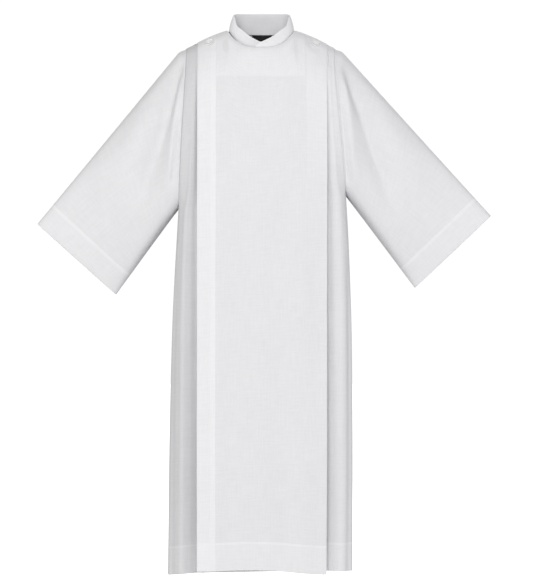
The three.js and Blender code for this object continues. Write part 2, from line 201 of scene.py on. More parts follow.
def body_point(face, x, turned, z):
    """A point of the form at height z: straight across at x, or turned round the side from 0 to 1."""
    ahead = -1 if face == "front" else 1
    edge = FRONT_EDGE if x < 0 else FRONT_FOLD
    depth = along(BODY, z, face) - PANEL_BOW * (x / edge) ** 2
    sweep = side_sweep(edge, z)
    angle = turned * sweep
    if turned > 0:
        reach = along(BODY, z, "right" if x < 0 else "left")
        x = math.copysign(mix(abs(edge), reach, math.sin(angle) / math.sin(sweep)), x)
    chest_y = ahead * depth * math.cos(angle) ** squareness(z)
    y = mix(top_depth(x, face), chest_y, swell(top_level(x, face) - z))
    return Vector((x, y + ahead * SEAM / 2, z))


# %% [markdown]
# ## Folds
# Folds make cloth believable, and they are never even. They could be sculpted with a brush, but a list can be
# read, changed and used again. So each fold below is given one by one: the line it runs down, its height (below
# zero is a trough), how fast each flank falls away, and what share of its run it takes to rise and to die out.
# On the body a line is measured round the robe from the middle of the front or back; on a sleeve it is seen
# square on.

# %% How a fold lifts the cloth
REACH = 3.2  # flank widths after which a fold is flat
FOLD_END = 0.02  # how far a fold fades past the ends of its line


def fold(line, height, flanks, fade):
    """One fold: its line as (across, height) places from the top down, and its shape."""
    return dict(line=line, height=height, flanks=flanks, fade=fade)


def fold_lift(fold, across, z):
    """Height of one fold at a place."""
    places = fold["line"]
    top, bottom = places[0][1], places[-1][1]
    t = clamp((top - z) / (top - bottom))
    line = [dict(z=level, x=x) for x, level in places]
    off = across - along(line, min(top, max(bottom, z)), "x")
    off /= fold["flanks"][0] if off < 0 else fold["flanks"][1]
    if abs(off) > REACH:
        return 0.0
    ends = smooth(t / max(fold["fade"][0], 1e-6)) * smooth((1 - t) / max(fold["fade"][1], 1e-6))
    outside = smooth(1 - max(z - top, bottom - z, 0) / FOLD_END)
    return fold["height"] * ends * outside * math.exp(-off * off)


def wander(across, z, size, seed):
    """A slow, uneven swell of the cloth, so that nothing between the folds is dead flat."""
    long_wave = noise.noise(Vector((across * 11, z * 2.3, seed)))
    short_wave = noise.noise(Vector((across * 31, z * 7.5, seed + 7.3)))
    return size * (long_wave + 0.35 * short_wave)


# %% Folds of the body, from the wearer's right to left; measured round from the middle
FRONT_FOLDS = [
    fold([(-0.118, -0.50), (-0.122, -1.00), (-0.112, -1.48)], 0.0032, (0.030, 0.024), (0.4, 0.0)),
    fold([(-0.062, -0.34), (-0.070, -0.90), (-0.078, -1.48)], -0.0030, (0.026, 0.034), (0.4, 0.0)),
    fold([(-0.004, -0.42), (-0.010, -0.95), (0.004, -1.48)], 0.0034, (0.034, 0.030), (0.4, 0.0)),
    fold([(0.066, -0.30), (0.058, -0.86), (0.064, -1.48)], -0.0026, (0.030, 0.026), (0.4, 0.0)),
    fold([(0.128, -0.36), (0.120, -0.90), (0.118, -1.48)], 0.0030, (0.024, 0.030), (0.4, 0.0)),
    fold([(-0.102, -0.010), (-0.088, -0.130)], -0.0046, (0.015, 0.020), (0.0, 0.8)),
    fold([(-0.060, -0.048), (-0.066, -0.130)], 0.0028, (0.012, 0.012), (0.3, 0.7)),
    fold([(0.062, -0.010), (0.061, -0.130)], -0.0040, (0.009, 0.018), (0.0, 0.8)),
    fold([(0.084, -0.040), (0.092, -0.120)], 0.0038, (0.009, 0.009), (0.3, 0.7)),
    fold([(0.128, -0.022), (0.135, -0.050)], -0.0045, (0.006, 0.004), (0.2, 0.4)),
    fold([(0.120, -0.036), (0.126, -0.090)], 0.0020, (0.006, 0.008), (0.3, 0.6)),
    fold([(-0.124, -0.030), (-0.128, -0.070)], -0.0026, (0.004, 0.007), (0.2, 0.5)),
    fold([(0.160, -0.040), (0.163, -0.100)], -0.0018, (0.005, 0.007), (0.2, 0.7)),
]
SIDE_FOLDS = [
    fold([(-0.187, -0.06), (-0.189, -0.60), (-0.187, -1.48)], -0.0110, (0.010, 0.012), (0.15, 0.0)),
    fold([(-0.222, -0.14), (-0.233, -0.60), (-0.230, -1.48)], 0.0080, (0.018, 0.014), (0.3, 0.0)),
    fold([(-0.276, -0.50), (-0.284, -0.90), (-0.276, -1.48)], -0.0035, (0.016, 0.014), (0.3, 0.0)),
    fold([(-0.304, -0.56), (-0.308, -1.00), (-0.302, -1.48)], 0.0050, (0.012, 0.012), (0.3, 0.0)),
    fold([(0.190, -0.07), (0.192, -0.60), (0.191, -1.48)], -0.0140, (0.009, 0.015), (0.3, 0.0)),
    fold([(0.234, -0.10), (0.244, -0.50), (0.243, -1.48)], 0.0075, (0.024, 0.034), (0.25, 0.0)),
    fold([(0.284, -0.52), (0.288, -0.90), (0.280, -1.48)], -0.0035, (0.014, 0.016), (0.3, 0.0)),
    fold([(0.310, -0.60), (0.312, -1.10), (0.306, -1.48)], 0.0050, (0.012, 0.012), (0.3, 0.0)),
]
BACK_FOLDS = [
    fold([(-0.268, -0.50), (-0.262, -1.48)], 0.0120, (0.020, 0.018), (0.3, 0.0)),
    fold([(-0.205, -0.12), (-0.214, -0.70), (-0.220, -1.48)], -0.0150, (0.016, 0.022), (0.1, 0.0)),
    fold([(-0.150, -0.12), (-0.162, -0.70), (-0.168, -1.48)], -0.0180, (0.018, 0.024), (0.2, 0.0)),
    fold([(-0.098, -0.26), (-0.112, -0.90), (-0.108, -1.48)], 0.0135, (0.024, 0.028), (0.3, 0.0)),
    fold([(-0.030, -0.42), (-0.046, -1.00), (-0.040, -1.48)], -0.0120, (0.026, 0.030), (0.4, 0.0)),
    fold([(0.048, -0.33), (0.038, -0.90), (0.046, -1.48)], 0.0120, (0.028, 0.024), (0.3, 0.0)),
    fold([(0.104, -0.20), (0.118, -0.80), (0.122, -1.48)], -0.0150, (0.022, 0.026), (0.2, 0.0)),
    fold([(0.160, -0.12), (0.170, -0.70), (0.176, -1.48)], 0.0135, (0.018, 0.022), (0.2, 0.0)),
    fold([(0.212, -0.12), (0.216, -0.70), (0.224, -1.48)], -0.0135, (0.016, 0.020), (0.1, 0.0)),
    fold([(0.270, -0.52), (0.266, -1.48)], 0.0105, (0.018, 0.020), (0.3, 0.0)),
]
print(len(FRONT_FOLDS), "folds on the front panel,", len(SIDE_FOLDS), "at its sides,", len(BACK_FOLDS), "behind")

# %% [markdown]
# ## From a plan to a sheet of cloth
# A piece is described by two plans. Its *columns* follow the cloth across: over the width of the front, round
# the turned edge, back behind it. Its *rows* follow it down, round the turn of the hem and up inside. The
# operator `create_grid` makes the sheet with that many squares, and every corner is then moved to its place.
# A hem could be a second, slightly larger shell, but a sheet that really turns has true edges from every side.
# The sheet also gets a flat map in metres, so that the weave runs along the cloth at its real size, and a
# number from 0 to 1, *layers*, that paints its colour: painted show-through shade and light, greyer where one
# layer would let the shaded inside show, whiter where more cloth lies behind it.

# %% Turn a finished form into an object
def joined(name, form, smooth_shading=True):
    """A new object from a finished form."""
    mesh = bpy.data.meshes.new(name)
    form.to_mesh(mesh)
    form.free()
    if smooth_shading:
        mesh.shade_smooth()
    piece = bpy.data.objects.new(name, mesh)
    bpy.context.scene.collection.objects.link(piece)
    return piece


# %% Lay a grid on its plan
TURN_STEPS = 5  # squares round a turned edge


def walked_across(at, middle, across, down):
    """How far each corner lies from the middle column, measured along the cloth."""
    walk = {}
    for j in range(down + 1):
        walk[middle, j] = 0.0
        for i in range(middle + 1, across + 1):
            walk[i, j] = walk[i - 1, j] + (at[i, j] - at[i - 1, j]).length
        for i in range(middle - 1, -1, -1):
            walk[i, j] = walk[i + 1, j] - (at[i, j] - at[i + 1, j]).length
    return walk


def walked_down(at, i, down):
    """How far down each corner of a column lies, measured along the cloth."""
    drop = [0.0]
    for j in range(1, down + 1):
        drop.append(drop[-1] + (at[i, j] - at[i, j - 1]).length)
    return drop


def sheet_of_cloth(name, columns, rows, place, ring=False):
    """A cloth piece. place(column, row) gives its points, and a ring closes into a tube."""
    sheet = bmesh.new()
    across, down = len(columns) - 1 + ring, len(rows) - 1
    bmesh.ops.create_grid(sheet, x_segments=across, y_segments=down, size=0.5)
    layers = sheet.verts.layers.float.new("layers")
    spots = {}
    for corner in sheet.verts:
        i = round((corner.co.x + 0.5) * across)
        j = round((0.5 - corner.co.y) * down)
        column, row = columns[i % len(columns)], rows[j]
        corner.co = place(column, row)
        # painted show-through shade and light: the column's and the row's shares are added for each corner
        corner[layers] = min(1.0, column["layers"] + row["layers"])
        spots[corner] = (i, j)
    at = {spot: corner.co.copy() for corner, spot in spots.items()}
    middle = min(range(across + 1), key=lambda i: abs(at[i, 0].x) + abs(at[i, down // 2].x))
    walk = walked_across(at, middle, across, down)
    drop = walked_down(at, middle, down)
    flat = sheet.loops.layers.uv.new("flat")
    for face in sheet.faces:
        for loop in face.loops:
            i, j = spots[loop.vert]
            loop[flat].uv = (walk[i, j], -drop[j])
    if ring:
        bmesh.ops.remove_doubles(sheet, verts=sheet.verts, dist=1e-6)
    bmesh.ops.reverse_faces(sheet, faces=sheet.faces)
    length = max(walked_down(at, i, down)[-1] for i in range(across + 1))
    return joined(name, sheet)


def thicken(piece, thickness=CLOTH):
    """Gives a sheet its wall, inwards from the side that faces out."""
    wall = piece.modifiers.new("wall", "SOLIDIFY")
    wall.thickness = thickness
    wall.offset = -1
    wall.use_even_offset = True
    return piece


# %% [markdown]
# ### Rows
# A row runs level across a panel. From the top edge the rows go down to the underarm, on to the hem, round its
# turn and up inside it. They could all be evenly spaced, but they lie closer near the shoulder seam, where the
# cloth bends most, and at the stitched edge of the hem, where its tone changes within a few millimetres.

# %% Rows of a panel
NEAR_TOP = [0, 0.002, 0.006, 0.012, 0.02, 0.03, 0.042, 0.056, 0.072, 0.09]
HEM_SEAM = dict(rows=(0.006, 0.035, 0.07), layers=0.40)  # painted light: a whiter line where the raw edge lies inside the hem
# painted show-through light: the turned hem is painted a little whiter
HEM_PAINTED_SHOW_THROUGH = 0.18


def evenly(start, end, count):
    """Evenly spaced values from start to end, both included."""
    return [mix(start, end, k / count) for k in range(count + 1)]


def panel_rows(part, places, inside=0.0, layers=0.0):
    """Rows in one part of a panel, at shares t of the way down it."""
    return [dict(part=part, t=t, inside=inside, layers=layers) for t in places]


def body_rows():
    """How a panel runs down. Each row says where it is between two levels, and how deep inside it lies."""
    down = panel_rows("chest", NEAR_TOP + evenly(0.11, 1, 46)) + panel_rows("skirt", evenly(0, 1, 96)[1:])
    hem = panel_rows("hem", HEM_SEAM["rows"], layers=HEM_SEAM["layers"])
    hem += panel_rows("hem", [0.095] + evenly(0.2, 0.97, 8), layers=HEM_PAINTED_SHOW_THROUGH)
    turn = [dict(part="turn", t=t, inside=t, layers=0.5) for t in evenly(0, 1, TURN_STEPS)]
    up = panel_rows("hem", evenly(0.95, 0.0, 9), inside=1.0, layers=0.5)
    return down + hem + turn + up


def row_place(row, top_x, way, face, under):
    """Height of a row on a panel, and how far inside the panel it lies."""
    top = top_level(top_x, face) - SEAM
    lift = mix(along(HEM_LINES, way, "over", "way"), along(HEM_LINES, way, "under", "way"), under)
    hem = HEM_LEVEL + (lift if face == "front" else along(HEM_LINES, way, "back", "way"))
    inside = row["inside"] * 2 * LAYER
    if row["part"] == "chest":
        return mix(top, underarm(top_x), row["t"]), inside
    if row["part"] == "skirt":
        return mix(underarm(top_x), hem + HEM_DEPTH, row["t"]), inside
    if row["part"] == "turn":
        angle = row["t"] * math.pi
        return hem + LAYER * (1 - math.sin(angle)), LAYER * (1 - math.cos(angle))
    return mix(hem + HEM_DEPTH, hem + LAYER, row["t"]), inside


print(len(body_rows()), "rows from the shoulder to the inside of the hem")

# %% [markdown]
# ### Columns
# A column runs down the cloth. On the flat of a panel it has a place x; past that it turns round the side, from
# 0 at the edge of the flat to 1 at the side seam. Two more numbers say how far behind the front panel it lies
# and which hem line it keeps to. With these a fold, a pleat and a side are all just columns in a row.

# %% Columns and their places
def column(x, turned=0.0, **more):
    """A line down the cloth. `under` runs from 0 on the panel on top to 1 on the layer behind it."""
    return dict(dict(x=x, turned=turned, under=0.0, behind=0.0, bulge=0.0, layers=0.5), **more)


def straight(start, end, count, **more):
    """Columns across the flat of a panel."""
    return [column(x, **more) for x in evenly(start, end, count)]


SIDE_PAINTED_SHADE = dict(back=0.5, right=-0.3, left=0.35)  # painted shade: the front's sides are painted greyer than the back's, the wearer's right darkest, where shade falls beside the front panel


def round_side(side, under, count=22):
    """Columns round one side, from the flat of the panel to the side seam."""
    edge = FRONT_EDGE if side < 0 else FRONT_FOLD
    look = "back" if not under else "right" if side < 0 else "left"
    turns = evenly(0, 1, count)[1:]
    # the side's layers value here is painted shade
    return [column(edge, turned=t, under=under, behind=under, layers=SIDE_PAINTED_SHADE[look]) for t in turns]


BUTTON_NODES = ("button_right", "button_left")
BUTTON_SPOTS = [(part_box(node)[0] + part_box(node)[1]) / 2 for node in BUTTON_NODES]
DIMPLE = dict(depth=0.0032, width=0.013, rim=0.0016, rim_at=0.021, rim_width=0.007, tall=0.8)


def dimple(spot, point):
    """A button pulls its cloth in a little and raises a soft rim round it."""
    off = Vector((point.x - spot.x, (point.z - spot.z) * DIMPLE["tall"])).length
    rim = DIMPLE["rim"] * math.exp(-(((off - DIMPLE["rim_at"]) / DIMPLE["rim_width"]) ** 2))
    return rim - DIMPLE["depth"] * math.exp(-((off / DIMPLE["width"]) ** 2))


HELD = dict(side=0.25, top=0.05)  # folds fade out near the seams, which hold the cloth
WANDER = dict(front=3.0, behind=5.0, back=11.0, size=0.0024)  # another swell for each panel


def place_on_body(face, folds):
    """Returns the placing of a panel of the front or back."""

    def place(line, row):
        x, under = line["x"], line["under"]
        shoulder = math.copysign(BODY[0]["right" if x < 0 else "left"], x)
        side = math.copysign(abs(x) + HALF_SIDE * line["turned"], x)
        z, inside = row_place(row, mix(x, shoulder, line["turned"]), side, face, under)
        point = body_point(face, x, line["turned"], z)
        out = facing(point)
        step = mix(UNDER_STEP["top"], UNDER_STEP["hem"], smooth(z / HEM_LEVEL))
        sunk = step * line["behind"] * (1 - smooth(line["turned"])) + line.get("layer", 0.0) + inside
        held = smooth((1 - line["turned"]) / HELD["side"])
        held *= smooth((top_level(x, face) - z) / HELD["top"] + 0.1)
        lift = sum(fold_lift(one, side, z) for one in folds if under > 0.5 or "under" not in one)
        seed = WANDER["front"] + WANDER["behind"] * under + (WANDER["back"] if face == "back" else 0)
        lift += wander(side, z, WANDER["size"], seed)
        if face == "front" and under < 0.5:
            lift += sum(dimple(spot, point) for spot in BUTTON_SPOTS)
        point.x += line["bulge"] * step
        if face == "front":
            point.x -= FOLD_TAPER * z / HEM_LEVEL * clamp(x / FRONT_FOLD) * (1 - line["turned"])
        return point + out * (lift * held - sunk)

    return place


# %% [markdown]
# ### The front that wraps over
# It starts with the band turned back inside the free edge, comes round the edge, crosses the chest, and turns
# back on itself at the knife pleat. Behind the pleat it turns once more and runs on round the wearer's left
# side to the side seam. The side could be a piece of its own, tucked behind, but one sheet keeps the edges of
# the pleat soft and closed.

# %% The over front, its band, its pleat and the wearer's left side
PLEAT_MIDDLE = 0.45  # how far back the pleat's middle layer lies, as a share of the step to the last one


def band_columns(inner):
    """The band: turned back inside, round the free edge, then the front up to the band's stitching."""
    half = LAYER / 2
    # painted show-through light: the band is painted whiter than the panel, whitest at its turned edge and by its
    # stitching
    columns = straight(inner, FRONT_EDGE + half, 10, layer=LAYER, layers=1.0)
    for angle in evenly(0, math.pi, TURN_STEPS)[1:-1]:
        layer = half * (1 + math.cos(angle))
        columns.append(column(FRONT_EDGE + half * (1 - math.sin(angle)), layer=layer, layers=1.0))
    columns += straight(FRONT_EDGE + half, inner - 0.015, 7, layers=0.85)
    return columns + straight(inner - 0.013, inner - 0.0004, 3, layers=1.0)


def turn_in_pleat(x, start, end, side):
    """Columns round one edge of the pleat, from one layer back to the next."""
    half = (end - start) / 2
    columns = []
    for angle in evenly(0, math.pi, TURN_STEPS + 2)[1:-1]:
        share = start + half * (1 - math.cos(angle))
        columns.append(column(x, behind=share, bulge=side * half * math.sin(angle), under=share))
    return columns


def over_front_columns():
    inner = FRONT_EDGE + BAND_WIDTH
    pleat = FRONT_FOLD - PLEAT_DEPTH
    columns = band_columns(inner) + straight(inner + 0.0004, FRONT_FOLD, 62)
    columns += turn_in_pleat(FRONT_FOLD, 0.0, PLEAT_MIDDLE, side=1)
    columns += straight(FRONT_FOLD - 0.002, pleat, 10, behind=PLEAT_MIDDLE, under=PLEAT_MIDDLE)
    columns += turn_in_pleat(pleat, PLEAT_MIDDLE, 1.0, side=-1)
    columns += straight(pleat + 0.002, FRONT_FOLD, 14, behind=1.0, under=1.0)
    return columns + round_side(1, 1.0)


under_only = [dict(one, under=True) for one in SIDE_FOLDS]
over_front = sheet_of_cloth(
    "over_front_cloth", over_front_columns(), body_rows(), place_on_body("front", FRONT_FOLDS + under_only)
)
thicken(over_front)

# %% [markdown]
# ### The front underneath
# It runs from the side seam at the wearer's right, behind the free edge, to its own hidden edge. Only its side
# shows, and there the folds fall deepest, because nothing holds the cloth flat. It could stop where it goes out
# of sight, but from below and through the sleeves it would look cut off.

# %% The under front
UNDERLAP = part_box("under_front")[1].x


def under_front_columns():
    side = list(reversed(round_side(-1, 1.0)))
    return side + straight(FRONT_EDGE, UNDERLAP, 56, behind=1.0, under=1.0)


under_front = sheet_of_cloth(
    "under_front_cloth", under_front_columns(), body_rows(), place_on_body("front", SIDE_FOLDS)
)
thicken(under_front)

# %% [markdown]
# ### The back
# The back is one panel, hung from the shoulder seams. Its fullness falls in long soft folds, as cloth does when
# only its top edge is held. A yoke could gather them, but one plain panel is how most albs of this kind are cut.

# %% The back panel
back_columns = [
    *reversed(round_side(-1, 0.0)),
    *straight(FRONT_EDGE, FRONT_FOLD, 84),
    *round_side(1, 0.0),
]
back = sheet_of_cloth("back_cloth", back_columns, body_rows(), place_on_body("back", BACK_FOLDS))
thicken(back)

# %% [markdown]
# ## Sleeves
# Each sleeve is a wide tube set into the armhole. It could be a bent cylinder, but then it would cut through
# the body or stand off it. So its first ring is the armhole seam itself, read off the body, and its last is a
# flat oval cuff, so that the top and bottom edges run straight as an ironed sleeve's do. Between them the cloth
# is drawn down from the point of the shoulder, which gives each sleeve its long slanting fold.

# %% Sizes and folds of the sleeves
SLEEVES = {
    "right": dict(side=-1, top=(-0.611, -0.529), bottom=(-0.397, -0.721), thick=0.066),
    "left": dict(side=1, top=(0.629, -0.507), bottom=(0.421, -0.704), thick=0.066),
}
SLEEVE_FOLDS = {
    "right": [
        fold(
            [(-0.224, -0.07), (-0.242, -0.14), (-0.261, -0.236)]
            + [(-0.281, -0.318), (-0.305, -0.417), (-0.334, -0.52)],
            *(-0.0230, (0.046, 0.024), (0.12, 0.35)),
        ),
        fold([(-0.206, -0.08), (-0.213, -0.19), (-0.228, -0.32), (-0.243, -0.44)], -0.008, (0.01, 0.01), (0.2, 0.1)),
        fold([(-0.202, -0.08), (-0.222, -0.19), (-0.240, -0.31), (-0.258, -0.50)], 0.009, (0.016, 0.014), (0.15, 0.4)),
        fold([(-0.290, -0.14), (-0.345, -0.34), (-0.415, -0.62)], 0.0080, (0.050, 0.040), (0.3, 0.4)),
        fold([(-0.330, -0.30), (-0.392, -0.46), (-0.440, -0.60)], -0.0040, (0.034, 0.026), (0.4, 0.4)),
    ],
    "left": [
        fold(
            [(0.238, -0.06), (0.264, -0.156), (0.294, -0.271)]
            + [(0.309, -0.341), (0.332, -0.411), (0.376, -0.54)],
            *(-0.0230, (0.024, 0.046), (0.12, 0.35)),
        ),
        fold([(0.210, -0.10), (0.222, -0.27), (0.236, -0.43)], -0.0080, (0.010, 0.010), (0.2, 0.1)),
        fold([(0.212, -0.10), (0.232, -0.20), (0.248, -0.31), (0.268, -0.46)], 0.009, (0.014, 0.016), (0.2, 0.4)),
        fold([(0.300, -0.12), (0.352, -0.34), (0.425, -0.60)], 0.0080, (0.040, 0.050), (0.3, 0.4)),
        fold([(0.350, -0.30), (0.400, -0.44), (0.455, -0.58)], -0.0040, (0.026, 0.034), (0.4, 0.4)),
    ],
}


# %% The armhole seam, walked evenly round
def armhole(side):
    """Points of the armhole seam from the shoulder down the front, under the arm and up the back."""
    x = FRONT_EDGE if side < 0 else FRONT_FOLD
    point = side * SHOULDER["width"]
    shoulder, foot = top_level(point, "front") - SEAM, underarm(point)
    levels = [mix(shoulder, foot, 0.5 - 0.5 * math.cos(math.pi * t)) for t in evenly(0, 1, 60)]
    front = [body_point("front", x, 1.0, z) for z in levels]
    rear = [body_point("back", x, 1.0, z) for z in reversed(levels)]
    return [point + Vector((side * 2 * SEAM, 0, 0)) for point in front + rear[1:]]


def walked(points, share):
    """The point at a share of the way round a closed line."""
    steps = [(b - a).length for a, b in zip(points, points[1:] + points[:1])]
    goal = share * sum(steps)
    for k, step in enumerate(steps):
        if goal <= step or k == len(steps) - 1:
            return points[k].lerp(points[(k + 1) % len(points)], clamp(goal / step if step else 0))
        goal -= step


for name, plan in SLEEVES.items():
    seam = armhole(plan["side"])
    print(name, "armhole is", round(sum((b - a).length for a, b in zip(seam, seam[1:])), 3), "m round")

# %% Place a sleeve's cloth
SLEEVE = dict(
    edge=0.78,  # how much thinner the cuff's oval gets towards its lower edge
    head=0.015,  # the rise of the cloth over the point of the shoulder
    head_run=0.06,
    turn_run=0.14,  # share of the sleeve over which it stops following the body
    flatness=1.6,
    swell=0.0030,
)


def sleeve_place(name):
    """Returns the placing of a sleeve's cloth between its armhole and its cuff."""
    plan = SLEEVES[name]
    side, thick = plan["side"], plan["thick"]
    top = Vector((plan["top"][0], NECK["y"], plan["top"][1]))
    bottom = Vector((plan["bottom"][0], NECK["y"], plan["bottom"][1]))
    up = (top - bottom) / 2
    centre = (top + bottom) / 2
    seam = armhole(side)
    starts = {}

    def place(line, row):
        share = line["share"]
        angle = share * 2 * math.pi
        if share not in starts:
            starts[share] = walked(seam, share)
        fullness = mix(math.cos(angle), 1, SLEEVE["edge"])
        forward = math.copysign(abs(math.sin(angle)) ** SIDE["squareness"], math.sin(angle))
        cuff = centre + up * math.cos(angle) + Vector((0, -forward * thick / 2 * fullness, 0))
        length = (cuff - starts[share]).length
        s = row["t"] * (1 - CUFF_HEM / length) if "t" in row else 1 - row["from_cuff"] / length
        point = starts[share].lerp(cuff, s)
        point.z += SLEEVE["head"] * (1 - s) * smooth(s / SLEEVE["head_run"]) * max(0.0, math.cos(angle)) ** 2
        tube_out = (up.normalized() * math.cos(angle) + Vector((0, -math.sin(angle), 0))).normalized()
        out = facing(starts[share]).lerp(tube_out, smooth(s / SLEEVE["turn_run"])).normalized()
        square_on = min(1.0, abs(math.sin(angle)) * SLEEVE["flatness"])
        lift = sum(fold_lift(one, point.x, point.z) for one in SLEEVE_FOLDS[name])
        lift = lift * smooth(s / 0.04) * (1 - smooth((s - 0.70) / 0.25))
        seed = 21.0 * side + math.copysign(4, math.sin(angle))
        lift += wander(point.x, point.z, SLEEVE["swell"], seed) * smooth(s / 0.1)
        return point + out * (lift * square_on - row["inside"])

    return place


# %% Rows of a sleeve
SLEEVE_COLUMNS = 150
# painted show-through light: the cuff's hem is painted whiter, most at the raw edge inside and on its inner layer
CUFF_SEAM = dict(rows=(0.0005, 0.004, 0.008), layers=0.42)  # metres below the hem's stitched edge
CUFF_PAINTED_SHOW_THROUGH = 0.16


def sleeve_rows():
    """How a sleeve runs down: by share of the way to its hem, then by the distance left to the cuff."""
    down = [dict(t=t, inside=0.0, layers=0.0) for t in evenly(0, 0.13, 12) + evenly(0.13, 1, 60)[1:]]
    outer = [dict(from_cuff=CUFF_HEM - off, inside=0.0, layers=CUFF_SEAM["layers"]) for off in CUFF_SEAM["rows"]]
    outer += [dict(from_cuff=d, inside=0.0, layers=CUFF_PAINTED_SHOW_THROUGH) for d in evenly(CUFF_HEM - 0.010, LAYER, 8)]
    turn = [
        dict(from_cuff=LAYER * (1 - math.sin(angle)), inside=LAYER * (1 - math.cos(angle)), layers=0.3)
        for angle in evenly(0, math.pi, TURN_STEPS)[1:-1]
    ]
    inner = [dict(from_cuff=d, inside=2 * LAYER, layers=1.0) for d in evenly(LAYER, CUFF_HEM, 8)]
    return down + outer + turn + inner


sleeve_ring = [dict(share=k / SLEEVE_COLUMNS, layers=0.5) for k in range(SLEEVE_COLUMNS)]
sleeves = {}
for name in SLEEVES:
    piece = sheet_of_cloth(f"sleeve_{name}_cloth", sleeve_ring, sleeve_rows(), sleeve_place(name), ring=True)
    sleeves[name] = thicken(piece)

# %% [markdown]
# ## Collar
# The collar is a stiff double band. It starts under the wearer's right front, goes all the way round the neck
# and ends on top, just past the middle. The band leans in a little and its upper edge drops to the front, so
# that the two ends cross in a shallow V. A closed ring would be simpler, but could not show that crossing. So
# the band is a spiral that grows slightly wider as it goes round.

# %% The collar band
COLLAR = [
    dict(angle=0, top=-0.036),
    dict(angle=22, top=-0.020),
    dict(angle=42, top=-0.001),
    dict(angle=56, top=0.010),
    dict(angle=66, top=0.026),
    dict(angle=76, top=0.038),
    dict(angle=90, top=0.0415),
    dict(angle=112, top=0.0475),
    dict(angle=140, top=0.0500),
    dict(angle=180, top=0.0515),
]
COLLAR_ENDS = dict(under=13, over=-371, slant=10)  # degrees round from the middle of the front
COLLAR_FORM = dict(lap=0.0068, lean=0.26, belly=0.0016, below_seam=0.0028, thick=0.0028, edge=0.0009)


def collar_place(line, row):
    slant = COLLAR_ENDS["slant"] * row["t"] * smooth((line["t"] - 0.94) / 0.06)
    turn = line["turn"] + slant
    folded = abs((turn % 360 + 540) % 360 - 180)
    angle = math.radians(turn)
    seam = top_level(NECK["half_width"] * math.sin(angle), "front" if math.cos(angle) > 0 else "back")
    base = seam - COLLAR_FORM["below_seam"]
    z = mix(base, along(COLLAR, folded, "top", "angle"), row["t"])
    belly = COLLAR_FORM["belly"] * math.sin(math.pi * row["t"])
    wide = COLLAR_FORM["lap"] * (line["t"] - 1) - COLLAR_FORM["lean"] * (z - base) + belly
    across, deep = NECK["half_width"] + wide, NECK["half_depth"] + wide
    return Vector((across * math.sin(angle), NECK["y"] - deep * math.cos(angle), z))


def collar_column(t):
    """A column of the collar, with painted shade and light: the end underneath is painted greyer and the turned edge
    of the end on top whitest, so that the crossing shows.
    """
    layers = 1.0 if t > 0.985 else mix(0.45, 0.85, smooth(t * 9 - 0.5))
    return dict(t=t, turn=mix(COLLAR_ENDS["under"], COLLAR_ENDS["over"], t), layers=layers)


collar_columns = [collar_column(t) for t in evenly(0, 1, 200)]
# painted highlight: the upper edge of the collar is painted whiter
collar_rows = [dict(t=t, layers=0.35 if t > 0.86 else 0.0) for t in evenly(1, 0, 22)]
collar = sheet_of_cloth("collar_band", collar_columns, collar_rows, collar_place)
thicken(collar, COLLAR_FORM["thick"])
edge = collar.modifiers.new("rounded_edge", "BEVEL")
edge.width = COLLAR_FORM["edge"]
edge.segments = 2
edge.limit_method = "ANGLE"

# %% [markdown]
# ## Facing and ribbon
# Two small pieces lie inside. A straight facing backs the chest of the front panel, and the front over it is
# painted whiter, with a level lower edge, as if the facing showed through. A dark ribbon hangs inside the collar
# seam at the back of the neck. The facing is hidden from most sides and could be left out, but then a look up
# inside the robe would find nothing there. It uses the front's own placing, further in, so it follows every
# fold. The cloth here lets no light through, so the whiter field is painted light in the front's colour.

# %% The facing
FACING = dict(behind=2 * LAYER + 0.0004, below_top=0.004, thick=0.0005)
facing_columns = straight(FRONT_EDGE + BAND_WIDTH, FRONT_FOLD - PLEAT_DEPTH, 40, layer=FACING["behind"])
facing_rows = [dict(t=t, layers=0.0) for t in evenly(0, 1, 16)]


def facing_place(line, row):
    seam = top_level(line["x"], "front") - SEAM
    z = mix(seam - FACING["below_top"], FACING_LEVEL, row["t"])
    share = (seam - z) / (seam - underarm(line["x"]))
    return place_on_body("front", FRONT_FOLDS)(line, dict(part="chest", t=share, inside=0.0))


facing_piece = sheet_of_cloth("chest_facing", facing_columns, facing_rows, facing_place)
thicken(facing_piece, FACING["thick"])

# %% The ribbon
RIBBON = dict(drop=0.044, below_seam=0.001, inside=0.0026, curl=0.0015, wave=90, thick=0.0006)
RIBBON_ENDS = [corner.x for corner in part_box("neck_label")]


def ribbon_place(line, row):
    z = top_level(line["x"], "back") - RIBBON["below_seam"] - RIBBON["drop"] * row["t"]
    point = body_point("back", line["x"], 0.0, z)
    curl = RIBBON["curl"] * row["t"] * math.sin(line["x"] * RIBBON["wave"])
    return point - facing(point) * (RIBBON["inside"] + curl)


ribbon_columns = [dict(x=x, layers=0.5) for x in evenly(RIBBON_ENDS[1], RIBBON_ENDS[0], 20)]
ribbon_rows = [dict(t=t, layers=0.0) for t in evenly(0, 1, 14)]
ribbon = sheet_of_cloth("neck_ribbon", ribbon_columns, ribbon_rows, ribbon_place)
thicken(ribbon, RIBBON["thick"])

# %% [markdown]
# ## Buttons
# Each shoulder has one button on the front panel. A button is a turned disc of plastic with a raised rim, and
# loops of thread hold it. It could be a squashed cylinder, but a section spun round its axis gives the rim and
# the hollow middle in one go, as a lathe does.

# %% Turn a button and sew it on
SECTION = [  # from the middle of the back round the rim to the middle of the face: radius, height
    (0.0000, 0.0000),
    (0.0085, 0.0000),
    (0.0109, 0.0009),
    (0.0115, 0.0019),
    (0.0111, 0.0029),
    (0.0100, 0.0034),
    (0.0087, 0.0029),
    (0.0072, 0.0021),
    (0.0000, 0.0019),
]


SEAT = dict(near=0.006, off=0.0012)
BUTTON_THREAD = dict(half=(0.0029, 0.00040, 0.00045), aside=0.0018, apart=0.0007, height=0.0021)


